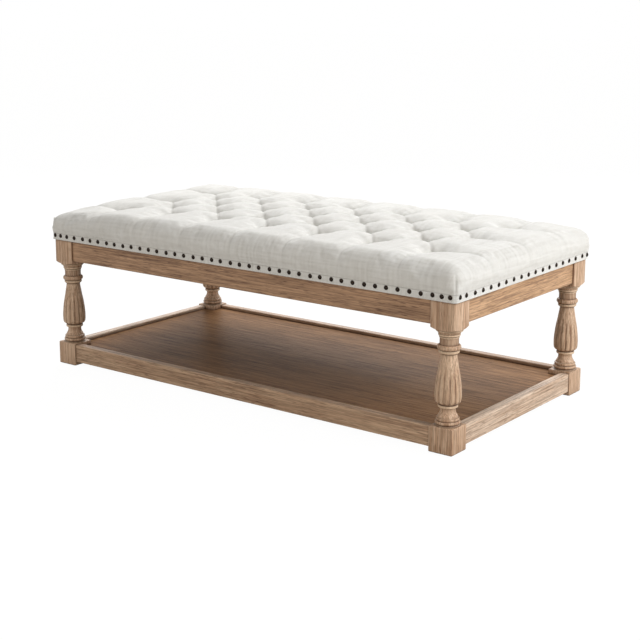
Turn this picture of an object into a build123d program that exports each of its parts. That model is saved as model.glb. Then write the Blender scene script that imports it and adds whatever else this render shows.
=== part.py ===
from build123d import *
import math
import os

# Ottoman coffee table: a diamond-tufted linen top with a nailhead border, on a base of turned and
# reeded oak legs, aprons and a recessed shelf.
# Millimetres. The origin is on the floor below the middle, X runs along the length, the front looks
# towards -Y and Z points up. Nothing moves, so every piece belongs to one rigid body.

# Base, measured over the square blocks of the legs
base_length = 1300.0
base_width = 650.0
base_height = 360.0
leg_square = 64.0
frame_reveal = 4.0
rail_thickness = 24.0
apron_depth = 58.0
shelf_rail_depth = 48.0
shelf_floor_gap = 14.0
shelf_recess = 9.0
shelf_panel_thickness = 12.0

# Square blocks of the legs
foot_block_height = 63.0
block_skirt = 1.5
pommel_height = 12.0
pommel_rounding = 2.0
block_edge_bevel = 1.5
foot_top_bevel = 3.0
foot_bottom_bevel = 4.0

# Turned members, from the top block down to the vase
collar_height = 10.5
collar_diameter = 62.0
collar_foot_diameter = 52.0
collar_fillet_height = 6.5
collar_fillet_diameter = 50.0
neck_height = 16.0
neck_diameter = 44.0
bead_height = 13.0
bead_diameter = 55.0
bead_fillet_height = 6.0
bead_fillet_diameter = 47.0
flare_height = 3.5

# Turned members, from the foot of the vase down to the foot block
ring_height = 6.0
ring_diameter = 46.0
scotia_height = 24.0
scotia_waist_diameter = 36.0
scotia_foot_diameter = 48.0
upper_torus_height = 7.0
upper_torus_diameter = 54.5
lower_torus_height = 8.5
lower_torus_diameter = 59.0
torus_waist_diameter = 51.0
foot_shoulder_height = 3.5
foot_shoulder_diameter = 57.0

# The reeded vase between them, which grows out of the ring
vase_belly_diameter = 63.5
vase_top_diameter = 36.5
reed_count = 14

# Tenons of the aprons and shelf rails
tenon_thickness = 10.0
tenon_length = 20.0
tenon_end_gap = 0.5
tenon_shoulder = 9.0
rail_edge_bevel = 2.0

# Corner braces with their hanger bolts, cross rails and shelf cleats
brace_thickness = 22.0
brace_depth = 45.0
brace_draw_gap = 0.5
leg_corner_flat = 8.0
bolt_diameter = 8.0
bolt_grip_in_leg = 34.0
bolt_hole_clearance = 1.0
bolt_tail = 5.0
washer_diameter = 20.0
washer_thickness = 2.0
nut_across_corners = 15.0
nut_thickness = 6.5
cross_rail_width = 40.0
cross_rail_depth = 22.0
cleat_size = 18.0
panel_clearance = 0.5

# Glides under the feet
glide_diameter = 24.0
glide_thickness = 2.5
glide_bevel = 0.8

# Frame, deck and foam slab inside the upholstered top, with the dust cover and screws below
cover_overhang = 7.0
cover_band_thickness = 3.0
top_rail_width = 60.0
top_rail_depth = 25.0
top_cross_width = 42.0
frame_corner_radius = 8.0
deck_thickness = 12.0
slab_thickness = 22.0
dust_cover_thickness = 0.8
top_screw_diameter = 5.0
top_screw_grip = 18.0
screw_hole_clearance = 0.6
screw_head_diameter = 10.0
screw_head_height = 4.0
screw_apron_distance = 10.0

# Outer form of the tufted cushion
nail_band_height = 20.0
side_bulge = 6.0
bulge_rise = 16.0
bulge_rounding = 1.5
side_height = 44.0
shoulder_radius = 42.0
crown_rise = 11.0
corner_radius = 14.0
edge_pleat_depth = 5.0
side_pleat_depth = 2.0
edge_strip_sag = 12.0

# Diamond tufting: rows of seven and of six tufts in turn, two on each side of the middle row
long_row_tuft_count = 7
rows_each_side = 2
tuft_pitch = 168.0
tuft_row_spacing = 92.0
tuft_depth = 26.0
pleat_depth = 12.0
tuft_floor = 7.0
floor_bulge = 0.8
sections_per_column = 3
tie_diameter = 2.5
tie_hole_clearance = 1.0
anchor_diameter = 20.0
anchor_thickness = 3.0

# Nailheads along the lower edge of the cover
nail_pitch_long = 31.0
nail_pitch_short = 34.0
nail_head_diameter = 11.0
nail_head_height = 3.0
nail_crown_diameter = 5.0
nail_rise = 11.5
nail_long_inset = 10.0
nail_short_inset = 24.0

# One overrun for every cut
overrun = 2.0

# Vase outline: shares of its height, each with how far the radius has grown from the narrower end of
# its half to the belly
vase_lower_shares = ((0.04, 0.50), (0.10, 0.91), (0.215, 1.0))
vase_upper_shares = ((0.44, 0.86), (0.66, 0.56), (0.83, 0.24), (1.0, 0.0))
# How deep a valley between reeds cuts into the radius at its deepest, and its shares of that at the
# same heights
reed_valley_share = 0.085
reed_fade_shares = (1.0, 1.0, 1.0, 1.0, 0.7, 0.1, 0.0)
# Scotia outline: shares of its height, each with how far it has drawn in from its foot to its waist
scotia_shares = ((0.2, 0.2), (0.45, 0.8), (0.8, 1.0))
# Sections of the cushion on its way from the last tufts to the shoulder at each end
end_run_shares = (0.35, 0.7, 1.0)
# Sections over that shoulder, as shares of a quarter turn
end_turn_shares = (0.33, 0.6, 0.8, 0.93)
# Fullness of a pillow: exponents of its outline along the length
pillow_power_shares = (2.2, 0.6)
# Exponent of the way in which an end pleat rises from its tuft to the shoulder
pleat_run_power_share = 1.5
# The top cross members stand between two columns of tufts, at this share of the pitch
top_cross_share = 1.25

# Flat sides that stand for round ones, and steps along their bowed outlines
turned_sides = 2 * reed_count
glide_sides = 12
small_round_sides = 6
nail_sides = 6
tie_sides = 4
bow_steps = 3
slight_bow_steps = 2

# Steps along the cross-section of the cushion
bulge_steps = 2
shoulder_steps = 4
strip_steps = 2
pillow_steps = 4

# Four corners count as lying in one plane when they are this close to it
flatness = 0.000001

# Worked out from the sizes above
half_length = base_length / 2
half_width = base_width / 2
rail_inset = frame_reveal + rail_thickness
block_inner_x = half_length - leg_square
block_inner_y = half_width - leg_square
rail_inner_x = half_length - rail_inset
rail_inner_y = half_width - rail_inset
apron_bottom = base_height - apron_depth
shelf_rail_top = shelf_floor_gap + shelf_rail_depth
shelf_top = shelf_rail_top - shelf_recess
shelf_underside = shelf_top - shelf_panel_thickness
foot_top = glide_thickness + foot_block_height
torus_bottom = foot_top + foot_shoulder_height
ring_top = torus_bottom + lower_torus_height + upper_torus_height + scotia_height + ring_height
turned_top = apron_bottom - block_skirt - pommel_height
upper_turned_height = collar_height + collar_fillet_height + neck_height + bead_height
upper_turned_height += bead_fillet_height + flare_height
vase_top = turned_top - upper_turned_height
top_rail_top = base_height + top_rail_depth
deck_top = top_rail_top + deck_thickness
slab_top = deck_top + slab_thickness
frame_half_length = half_length + cover_overhang - cover_band_thickness
frame_half_width = half_width + cover_overhang - cover_band_thickness
band_half_length = half_length + cover_overhang
band_half_width = half_width + cover_overhang
cushion_half_length = band_half_length + side_bulge
cushion_half_width = band_half_width + side_bulge
shoulder_base = base_height + side_height
brace_top = base_height - dust_cover_thickness
half_pitch = tuft_pitch / 2
last_column = long_row_tuft_count - 1


def block(x0, x1, y0, y1, z0, z1):
    """A square-edged block between two opposite corners."""
    return Pos((x0 + x1) / 2, (y0 + y1) / 2, (z0 + z1) / 2) * Box(x1 - x0, y1 - y0, z1 - z0)


def prism(points, z0, z1):
    """An upright prism over an outline in plan."""
    return Pos(0, 0, z0) * extrude(make_face(Polyline(*points, close=True)), z1 - z0)


def rod(diameter, length, sides=small_round_sides):
    """A plain many-sided rod standing on the origin."""
    return extrude(RegularPolygon(diameter / 2, sides), length)


def plane_faces(corners):
    """One flat face through four corners where they lie in a plane, otherwise two triangles."""
    a, b, c, d = [Vector(*corner) for corner in corners]
    lean = (b - a).cross(d - a).normalized().dot(c - a)
    if abs(lean) < flatness:
        return [Face(Wire.make_polygon([a, b, c, d]))]
    if (c - a).length < (d - b).length:
        return [Face(Wire.make_polygon([a, b, c])), Face(Wire.make_polygon([a, c, d]))]
    return [Face(Wire.make_polygon([a, b, d])), Face(Wire.make_polygon([b, c, d]))]


def skin(rings):
    """A closed solid of flat faces through rings of as many points each, with both ends closed."""
    faces = [Face(Wire.make_polygon(rings[0])), Face(Wire.make_polygon(rings[-1]))]
    for low, high in zip(rings, rings[1:]):
        for k in range(len(low)):
            faces += plane_faces((low[k - 1], low[k], high[k], high[k - 1]))
    return Solid(Shell(faces))


def round_ring(radius, z, valley_share=0, sides=turned_sides):
    """A ring of points round the origin. A valley share draws every second point in."""
    points = []
    for k in range(sides):
        turn = 2 * math.pi * k / sides
        reach = radius * (1 - valley_share * (k % 2))
        points.append((reach * math.cos(turn), reach * math.sin(turn), z))
    return points


def square_ring(side, z):
    """A ring of points round a square with bevelled corners."""
    far = side / 2
    near = far - block_edge_bevel
    corner = [(far, -near, z), (far, near, z), (near, far, z), (-near, far, z)]
    return corner + [(-x, -y, z) for x, y, z in corner]


def bowed(start, end, bulge, steps):
    """Turned outline from one (radius, height) to another, bowed out midway, without its start."""
    fullest = math.sin(math.pi * (steps // 2) / steps)
    points = []
    for k in range(1, steps + 1):
        turn = math.pi * k / steps
        share = (1 - math.cos(turn)) / 2
        swell = bulge * math.sin(turn) / fullest
        points.append((start[0] + (end[0] - start[0]) * share + swell,
                       start[1] + (end[1] - start[1]) * share, 0))
    return points


def four_corners(solid):
    """The piece of the front right corner, mirrored or turned into the other three."""
    return {
        "front_right": solid,
        "front_left": mirror(solid, about=Plane.YZ),
        "back_right": mirror(solid, about=Plane.XZ),
        "back_left": Rot(0, 0, 180) * solid,
    }


def lower_outline():
    """Shoulder, double torus, scotia and ring over the foot: radius, height and valley share."""
    waist = torus_waist_diameter / 2
    z = torus_bottom
    line = [(foot_shoulder_diameter / 2, foot_top, 0), (waist, z, 0)]
    z += lower_torus_height
    line += bowed(line[-1], (waist, z), lower_torus_diameter / 2 - waist, bow_steps)
    z += upper_torus_height
    line += bowed(line[-1], (waist, z), upper_torus_diameter / 2 - waist, slight_bow_steps)
    foot = scotia_foot_diameter / 2
    line += [(foot, z, 0)]
    for share, drawn in scotia_shares:
        line.append((foot - (foot - scotia_waist_diameter / 2) * drawn, z + scotia_height * share, 0))
    line += [(ring_diameter / 2, z + scotia_height, 0), (ring_diameter / 2, ring_top, 0)]
    return line


def vase_outline():
    """The reeded vase from the ring to its top: radius, height and valley share."""
    belly = vase_belly_diameter / 2
    stations = [(share, growth, ring_diameter / 2) for share, growth in vase_lower_shares]
    stations += [(share, growth, vase_top_diameter / 2) for share, growth in vase_upper_shares]
    line = []
    for (share, growth, narrow), fade in zip(stations, reed_fade_shares):
        radius = narrow + (belly - narrow) * growth
        line.append((radius, ring_top + (vase_top - ring_top) * share, reed_valley_share * fade))
    return line


def upper_outline():
    """Flare, bead, neck and collar under the top block: radius, height and valley share."""
    neck = neck_diameter / 2
    z = vase_top + flare_height
    line = [(bead_fillet_diameter / 2, z, 0)]
    z += bead_fillet_height
    line += [(bead_fillet_diameter / 2, z, 0), (neck, z, 0)]
    z += bead_height
    line += bowed(line[-1], (neck, z), bead_diameter / 2 - neck, bow_steps)
    z += neck_height
    line += [(neck, z, 0), (collar_fillet_diameter / 2, z, 0)]
    z += collar_fillet_height
    line += [(collar_fillet_diameter / 2, z, 0), (collar_foot_diameter / 2, z, 0)]
    z += collar_height
    line += [(collar_diameter / 2, z, 0)]
    return line


def turning():
    """The turned part of the leg between its two square blocks."""
    outline = lower_outline() + vase_outline() + upper_outline()
    return skin([round_ring(*station) for station in outline])


def top_block():
    """The square block of a leg, its corners turned away at the lower end."""
    square = skin([square_ring(leg_square, turned_top), square_ring(leg_square, base_height)])
    corner_reach = leg_square / math.sqrt(2)
    outline = [(collar_diameter / 2, turned_top, 0)]
    outline += bowed(outline[0], (corner_reach, turned_top + pommel_height), pommel_rounding,
                     slight_bow_steps)
    outline += [(corner_reach, base_height, 0)]
    return square & skin([round_ring(*station) for station in outline])


def foot_block():
    """The square foot of a leg, bevelled round its top and its underside."""
    return skin([square_ring(leg_square - 2 * foot_bottom_bevel, glide_thickness),
                 square_ring(leg_square, glide_thickness + foot_bottom_bevel),
                 square_ring(leg_square, foot_top - foot_top_bevel),
                 square_ring(leg_square - 2 * foot_top_bevel, foot_top)])


def tenon_span(low, high):
    """The lower and upper faces of the tenons of a rail between two heights."""
    return low + tenon_shoulder, high - tenon_shoulder


def mortises(low, high):
    """The two tenon pockets in the front right leg for a long and a short rail."""
    z0, z1 = tenon_span(low, high)
    centre = leg_square / 2 - frame_reveal - rail_thickness / 2
    side = tenon_thickness / 2
    mouth = leg_square / 2 + overrun
    bottom = leg_square / 2 - tenon_length
    long_rail = block(-mouth, -bottom, -centre - side, -centre + side, z0, z1)
    short_rail = block(centre - side, centre + side, bottom, mouth, z0, z1)
    return long_rail + short_rail


def corner_flat(z0, z1):
    """The cut that leaves a flat on the inner corner of the front right leg, behind a brace."""
    far = leg_square / 2 + overrun
    side = leg_corner_flat + 2 * overrun
    return prism([(-far, far), (-far + side, far), (-far, far - side)], z0, z1)


def along_diagonal(solid, distance, height):
    """Lays a rod down along the diagonal of the front right leg, from the leg axis inwards."""
    return Pos(0, 0, height) * Rot(0, 0, 135) * Pos(distance, 0, 0) * Rot(0, 90, 0) * solid


def flat_distance():
    """How far the flat on the inner corner stands from the axis of the leg."""
    return (leg_square - leg_corner_flat) / math.sqrt(2)


def bolt_heights():
    """Heights of the hanger bolts of the upper and the lower braces."""
    return brace_top - brace_depth / 2, (shelf_floor_gap + shelf_underside) / 2


def in_corner(solid):
    """Moves a piece from the axis of a leg to the front right leg."""
    return Pos(half_length - leg_square / 2, -half_width + leg_square / 2, 0) * solid


def leg():
    """The front right leg, turned from one square blank."""
    body = top_block() + turning() + foot_block()
    body -= mortises(apron_bottom, base_height)
    body -= mortises(shelf_floor_gap, shelf_rail_top)
    body -= corner_flat(apron_bottom, base_height + overrun)
    body -= corner_flat(shelf_floor_gap, shelf_underside)
    bore = rod(bolt_diameter, bolt_grip_in_leg + leg_square)
    for height in bolt_heights():
        body -= along_diagonal(bore, flat_distance() - bolt_grip_in_leg, height)
    return in_corner(body)


def glide():
    """The plastic glide under the front right foot."""
    radius = glide_diameter / 2
    return in_corner(skin([round_ring(radius - glide_bevel, 0, sides=glide_sides),
                           round_ring(radius, glide_bevel, sides=glide_sides),
                           round_ring(radius, glide_thickness, sides=glide_sides)]))


def rail(shoulder, low, high, bevel_top):
    """An apron or shelf rail along X with a stub tenon at each end."""
    side = rail_thickness / 2
    body = block(-shoulder, shoulder, -side, side, low, high)
    long_edges = body.edges().filter_by(Axis.X).group_by(Axis.Z)
    body = chamfer(long_edges[-1] if bevel_top else long_edges[0], rail_edge_bevel)
    z0, z1 = tenon_span(low, high)
    reach = shoulder + tenon_length - tenon_end_gap
    tenon = tenon_thickness / 2
    return body + block(-reach, reach, -tenon, tenon, z0, z1)


def rails(low, high, bevel_top):
    """The four rails between the legs at one level."""
    long_rail = rail(block_inner_x, low, high, bevel_top)
    short_rail = Rot(0, 0, 90) * rail(block_inner_y, low, high, bevel_top)
    centre_x = half_length - frame_reveal - rail_thickness / 2
    centre_y = half_width - frame_reveal - rail_thickness / 2
    return {
        "front": Pos(0, -centre_y, 0) * long_rail,
        "back": Pos(0, centre_y, 0) * long_rail,
        "left": Pos(-centre_x, 0, 0) * short_rail,
        "right": Pos(centre_x, 0, 0) * short_rail,
    }


def brace_reach():
    """Where the two long faces of a brace meet the rails, from the inner corner of the rails."""
    leg_corner = leg_square - rail_inset
    near = 2 * leg_corner - leg_corner_flat + brace_draw_gap * math.sqrt(2)
    return near, near + brace_thickness * math.sqrt(2)


def brace(z0, z1):
    """The brace across the inside of the front right corner, bored for its bolt."""
    near, far = brace_reach()
    corners = ((near, 0), (far, 0), (0, far), (0, near))
    body = prism([(rail_inner_x - u, v - rail_inner_y) for u, v in corners], z0, z1)
    bore = rod(bolt_diameter + bolt_hole_clearance, leg_square + brace_thickness)
    return body - in_corner(along_diagonal(bore, 0, (z0 + z1) / 2))


def hanger_bolt(height):
    """A hanger bolt: screwed into the leg, through the brace, with a tail for washer and nut."""
    stack = brace_draw_gap + brace_thickness + washer_thickness + nut_thickness + bolt_tail
    shank = rod(bolt_diameter, bolt_grip_in_leg + stack)
    return in_corner(along_diagonal(shank, flat_distance() - bolt_grip_in_leg, height))


def bolt_washer(height):
    """The washer against the inner face of a brace."""
    ring = rod(washer_diameter, washer_thickness) - rod(bolt_diameter, washer_thickness)
    return in_corner(along_diagonal(ring, flat_distance() + brace_draw_gap + brace_thickness, height))


def bolt_nut(height):
    """The hexagon nut on a hanger bolt."""
    body = rod(nut_across_corners, nut_thickness) - rod(bolt_diameter, nut_thickness)
    start = flat_distance() + brace_draw_gap + brace_thickness + washer_thickness
    return in_corner(along_diagonal(body, start, height))


def shelf_panel():
    """The shelf board, let down between the rails and notched round the feet."""
    x = rail_inner_x - panel_clearance
    y = rail_inner_y - panel_clearance
    notch_x = block_inner_x - panel_clearance
    notch_y = block_inner_y - panel_clearance
    quarter = [(x, -notch_y), (x, notch_y), (notch_x, notch_y), (notch_x, y)]
    half = quarter + [(-px, py) for px, py in reversed(quarter)]
    outline = [(notch_x, -y), (notch_x, -notch_y)] + half
    outline += [(-notch_x, -notch_y), (-notch_x, -y)]
    return prism(outline, shelf_underside, shelf_top)


def shelf_cleats():
    """The battens along the shelf rails that carry the panel, between the braces."""
    z0 = shelf_underside - cleat_size
    end = brace_reach()[1] + panel_clearance
    inner_y = rail_inner_y - cleat_size
    inner_x = rail_inner_x - cleat_size
    long_end = rail_inner_x - end
    short_end = rail_inner_y - end
    return {
        "front": block(-long_end, long_end, -rail_inner_y, -inner_y, z0, shelf_underside),
        "back": block(-long_end, long_end, inner_y, rail_inner_y, z0, shelf_underside),
        "left": block(-rail_inner_x, -inner_x, -short_end, short_end, z0, shelf_underside),
        "right": block(inner_x, rail_inner_x, -short_end, short_end, z0, shelf_underside),
    }


def cross_rail(reach, top):
    """A flat cross rail under the middle, from front to back."""
    side = cross_rail_width / 2
    return block(-side, side, -reach, reach, top - cross_rail_depth, top)


def screw_places():
    """Plan positions of the screws that hold the top down, through the braces and the cross rail."""
    near, far = brace_reach()
    other = (near + far) / 2 - screw_apron_distance
    places = [(0, -rail_inner_y + screw_apron_distance), (0, rail_inner_y - screw_apron_distance)]
    for u, v in ((screw_apron_distance, other), (other, screw_apron_distance)):
        for sx in (-1, 1):
            for sy in (-1, 1):
                places.append((sx * (rail_inner_x - u), sy * (rail_inner_y - v)))
    return places


def top_screws(clearance=0):
    """The screws of the top, or with a clearance the holes that they pass through."""
    solids = []
    for x, y in screw_places():
        start = brace_top - brace_depth
        if x == 0:
            start = brace_top - cross_rail_depth
        end = base_height + top_screw_grip
        shank = rod(top_screw_diameter + clearance, end - start)
        head = rod(screw_head_diameter + clearance, screw_head_height)
        solids.append(Pos(x, y, start) * (shank + head))
    return solids


def cut_all(body, cutters):
    """A piece less a list of cutters."""
    return body - Compound(children=cutters)


def rounded_plate(z0, z1):
    """A plate over the whole frame of the top, with its rounded corners."""
    outline = RectangleRounded(2 * frame_half_length, 2 * frame_half_width, frame_corner_radius)
    return Pos(0, 0, z0) * extrude(outline, z1 - z0)


def top_frame():
    """The rails of the top and its two cross members, butted between the long rails."""
    plate = rounded_plate(base_height, top_rail_top)
    inner_y = frame_half_width - top_rail_width
    inner_x = frame_half_length - top_rail_width
    far_x = frame_half_length + overrun
    far_y = frame_half_width + overrun
    z = (base_height, top_rail_top)
    cross_side = top_cross_width / 2
    cross_x = tuft_pitch * top_cross_share
    screws = top_screws()
    return {
        "top_frame_front": cut_all(plate & block(-far_x, far_x, -far_y, -inner_y, *z), screws),
        "top_frame_back": cut_all(plate & block(-far_x, far_x, inner_y, far_y, *z), screws),
        "top_frame_left": cut_all(block(-frame_half_length, -inner_x, -inner_y, inner_y, *z), screws),
        "top_frame_right": cut_all(block(inner_x, frame_half_length, -inner_y, inner_y, *z), screws),
        "top_cross_left": block(-cross_x - cross_side, -cross_x + cross_side, -inner_y, inner_y, *z),
        "top_cross_right": block(cross_x - cross_side, cross_x + cross_side, -inner_y, inner_y, *z),
    }


def tuft_places():
    """Plan positions of all tufts: odd rows stand half a pitch off the even ones."""
    places = []
    for row in range(-rows_each_side, rows_each_side + 1):
        for column in range(-last_column, last_column + 1):
            if (row + column) % 2 == last_column % 2:
                places.append((column * half_pitch, row * tuft_row_spacing))
    return places


def tufting(diameter, z0, z1, sides=tie_sides):
    """The same small rod at every tuft."""
    return [Pos(x, y, z0) * rod(diameter, z1 - z0, sides) for x, y in tuft_places()]


def deck():
    """The plywood deck, drilled for the tuft ties."""
    holes = tufting(tie_diameter + tie_hole_clearance, top_rail_top - overrun, deck_top + overrun)
    return cut_all(rounded_plate(top_rail_top, deck_top), holes)


def foam_slab():
    """The firm lower foam, pierced for the tuft ties."""
    holes = tufting(tie_diameter + tie_hole_clearance, deck_top - overrun, slab_top + overrun)
    return cut_all(rounded_plate(deck_top, slab_top), holes)


def dust_cover():
    """The thin cloth under the frame, cut round the legs and pierced by the screws."""
    x = rail_inner_x - panel_clearance
    y = rail_inner_y - panel_clearance
    notch = leg_square - rail_inset + panel_clearance
    z = (brace_top, base_height)
    body = block(-x, x, notch - y, y - notch, *z) + block(notch - x, x - notch, -y, y, *z)
    return cut_all(body, top_screws())


def fullness(share):
    """How far a pillow has sunk at a share of the way from its middle to its corner, 0 to 1."""
    rise_power, fall_power = pillow_power_shares
    return 1 - (1 - share ** rise_power) ** fall_power


def cushion_stations():
    """Sections of the cushion from left to right.

    Each has its place along X, how far it is from an even to an odd column of tufts, how far it is
    out along the end pleats, and the angle that it has turned down over the end shoulder.
    """
    stations = []
    tuft_x = last_column * half_pitch
    shoulder_x = cushion_half_length - shoulder_radius
    for share in end_run_shares:
        stations.append((tuft_x + (shoulder_x - tuft_x) * share, 0, share, 0))
    for share in end_turn_shares:
        angle = share * math.pi / 2
        stations.append((shoulder_x + shoulder_radius * math.sin(angle), 0, 1, angle))
    left = [(-x, phase, run, angle) for x, phase, run, angle in reversed(stations)]
    middle = []
    for step in range(-last_column * sections_per_column, last_column * sections_per_column + 1):
        column = step / sections_per_column
        phase = abs(column) % 2
        if phase > 1:
            phase = 2 - phase
        middle.append((column * half_pitch, phase, 0, 0))
    return left + middle + stations


def corner_draw(x):
    """How far the sides of the cushion have drawn in where its corners round off."""
    end = cushion_half_length - shoulder_radius
    end = end + shoulder_radius * math.sin(end_turn_shares[-1] * math.pi / 2)
    along = max(abs(x) - (end - corner_radius), 0)
    return corner_radius - math.sqrt(corner_radius ** 2 - min(along, corner_radius) ** 2)


def arc_points(start, middle, end, steps):
    """Points along the arc through three points, without its start."""
    arc = ThreePointArc(start, middle, end)
    return [(arc @ (k / steps)).to_tuple()[:2] for k in range(1, steps + 1)]


def cushion_section(x, phase, run, angle):
    """One cross-section of the cushion: a ring of points over the pillows and back below."""
    turn = math.cos(angle)
    shoulder = shoulder_radius * turn
    edge = fullness(1 - max(phase, run))
    side = cushion_half_width - corner_draw(x)
    band = band_half_width - corner_draw(x)
    shoulder_y = side - shoulder
    crown = crown_rise * (1 - (x / cushion_half_length) ** 2) * turn if angle == 0 else 0
    top = shoulder_base + shoulder
    floor = tuft_floor / 2
    if run:
        pleat = edge_pleat_depth * turn + side_pleat_depth * (1 - turn)
        valley_depth = pleat + (tuft_depth - pleat) * (1 - run) ** pleat_run_power_share
    else:
        valley_depth = pleat_depth + (tuft_depth - pleat_depth) * (1 - math.sin(math.pi * phase))

    def crest(y):
        return top + crown * (1 - (y / cushion_half_width) ** 2)

    outer = rows_each_side * tuft_row_spacing - phase * (tuft_row_spacing - floor)
    inner = floor + phase * (tuft_row_spacing - 2 * floor)
    pillow_sink = valley_depth - floor_bulge
    outer_sink = pillow_sink * fullness(phase)
    middle_sink = pillow_sink * fullness(1 - phase)
    strip_sink = edge_strip_sag * edge
    edge_drop = edge_pleat_depth * edge * turn
    side_draw = side_pleat_depth * edge * turn
    strip_y = (shoulder_y + outer) / 2
    pillow_y = (outer + inner) / 2

    diagonal = shoulder * math.sqrt(0.5)
    half = [(band, base_height), (band, base_height + nail_band_height)]
    half += arc_points(half[-1],
                       ((band + side) / 2 + bulge_rounding,
                        base_height + nail_band_height + bulge_rise),
                       (side - side_draw, shoulder_base), bulge_steps)
    half += arc_points(half[-1],
                       (side - side_draw - shoulder + diagonal,
                        shoulder_base + diagonal - edge_drop / 2),
                       (shoulder_y, top - edge_drop), shoulder_steps)
    half += arc_points(half[-1], (strip_y, crest(strip_y) - strip_sink),
                       (outer, crest(outer) - valley_depth), strip_steps)
    half += arc_points(half[-1], (pillow_y, crest(pillow_y) - outer_sink),
                       (inner, crest(inner) - valley_depth), pillow_steps)
    inner_z = half[-1][1]
    middle = arc_points(half[-1], (0, crest(0) - middle_sink), (-inner, inner_z), pillow_steps)
    ring = half + middle[:-1] + [(-y, z) for y, z in reversed(half)]
    return [(x, y, z) for y, z in ring]


def end_band_cut():
    """The cut that draws the right end in to the nail band."""
    z0 = base_height + nail_band_height
    x1 = band_half_length + 2 * side_bulge
    points = [(band_half_length, base_height - overrun), (band_half_length, z0),
              (x1, z0 + 2 * bulge_rise), (x1, base_height - overrun)]
    face = Plane.XZ * make_face(Polyline(*points, close=True))
    return extrude(face, cushion_half_width + overrun, both=True)


def tufted_cushion():
    """Linen cover with its soft filling: crowned, diamond-tufted, and drawn in to the nail band."""
    body = skin([cushion_section(*station) for station in cushion_stations()])
    cut = end_band_cut()
    body -= cut
    body -= mirror(cut, about=Plane.YZ)
    return body - rounded_plate(base_height - overrun, slab_top)


def nail_head():
    """A nailhead standing on the origin: a low dome with flat sides."""
    return skin([round_ring(nail_head_diameter / 2, 0, sides=nail_sides),
                 round_ring(nail_crown_diameter / 2, nail_head_height, sides=nail_sides)])


def nail_row(reach, pitch):
    """Places of the nails along one side, evenly spread over it."""
    count = round(2 * reach / pitch)
    return [-reach + 2 * reach * k / count for k in range(count + 1)]


def nailheads():
    """The nailheads of the four sides."""
    height = base_height + nail_rise
    head = nail_head()
    long_row = nail_row(band_half_length - nail_long_inset, nail_pitch_long)
    short_row = nail_row(band_half_width - nail_short_inset, nail_pitch_short)
    x = band_half_length
    y = band_half_width
    return {
        "nailheads_front": [Pos(u, -y, height) * Rot(90, 0, 0) * head for u in long_row],
        "nailheads_back": [Pos(u, y, height) * Rot(-90, 0, 0) * head for u in long_row],
        "nailheads_left": [Pos(-x, u, height) * Rot(0, -90, 0) * head for u in short_row],
        "nailheads_right": [Pos(x, u, height) * Rot(0, 90, 0) * head for u in short_row],
    }


def hardware():
    """Bolts, washers and nuts of the eight braces, each kind in a group."""
    groups = {"hanger_bolts": [], "bolt_washers": [], "bolt_nuts": []}
    for height in bolt_heights():
        groups["hanger_bolts"] += four_corners(hanger_bolt(height)).values()
        groups["bolt_washers"] += four_corners(bolt_washer(height)).values()
        groups["bolt_nuts"] += four_corners(bolt_nut(height)).values()
    return groups


def assembly():
    """Every piece of the table under its name."""
    parts = {}
    holes = top_screws(screw_hole_clearance)
    for corner, piece in four_corners(leg()).items():
        parts["leg_" + corner] = piece
    for corner, piece in four_corners(glide()).items():
        parts["glide_" + corner] = piece
    for side, piece in rails(apron_bottom, base_height, False).items():
        parts["apron_" + side] = piece
    for side, piece in rails(shelf_floor_gap, shelf_rail_top, True).items():
        parts["shelf_rail_" + side] = piece
    for side, piece in shelf_cleats().items():
        parts["shelf_cleat_" + side] = piece
    for corner, piece in four_corners(brace(brace_top - brace_depth, brace_top)).items():
        parts["apron_brace_" + corner] = cut_all(piece, holes)
    for corner, piece in four_corners(brace(shelf_floor_gap, shelf_underside)).items():
        parts["shelf_brace_" + corner] = piece
    parts["shelf_panel"] = shelf_panel()
    parts["shelf_cross_rail"] = cross_rail(rail_inner_y - cleat_size, shelf_underside)
    parts["apron_cross_rail"] = cut_all(cross_rail(rail_inner_y, brace_top), holes)
    parts.update(hardware())
    parts["top_screws"] = top_screws()
    parts["dust_cover"] = dust_cover()
    parts.update(top_frame())
    parts["deck"] = deck()
    parts["foam_slab"] = foam_slab()
    parts["tuft_ties"] = tufting(tie_diameter, top_rail_top, slab_top)
    parts["tuft_anchors"] = tufting(anchor_diameter, top_rail_top - anchor_thickness, top_rail_top,
                                    small_round_sides)
    parts["tufted_cushion"] = tufted_cushion()
    parts.update(nailheads())
    return parts


os.makedirs("parts", exist_ok=True)
for name, piece in assembly().items():
    if isinstance(piece, list):
        piece = Compound(children=piece)
    export_step(piece, f"parts/{name}.step")
    print(name, round(piece.volume))
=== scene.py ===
# %% [markdown]
# The ottoman coffee table is dressed here in cells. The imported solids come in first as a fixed
# frame: legs, rails, shelf, hidden framing and the padded top. What looks right as it is keeps its
# mesh and gets a finish. The turned legs, the tufted cover and the nailheads are modelled again,
# finer.

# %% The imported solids
import math

import bpy
import numpy as np
from mathutils import Matrix, Vector


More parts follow.
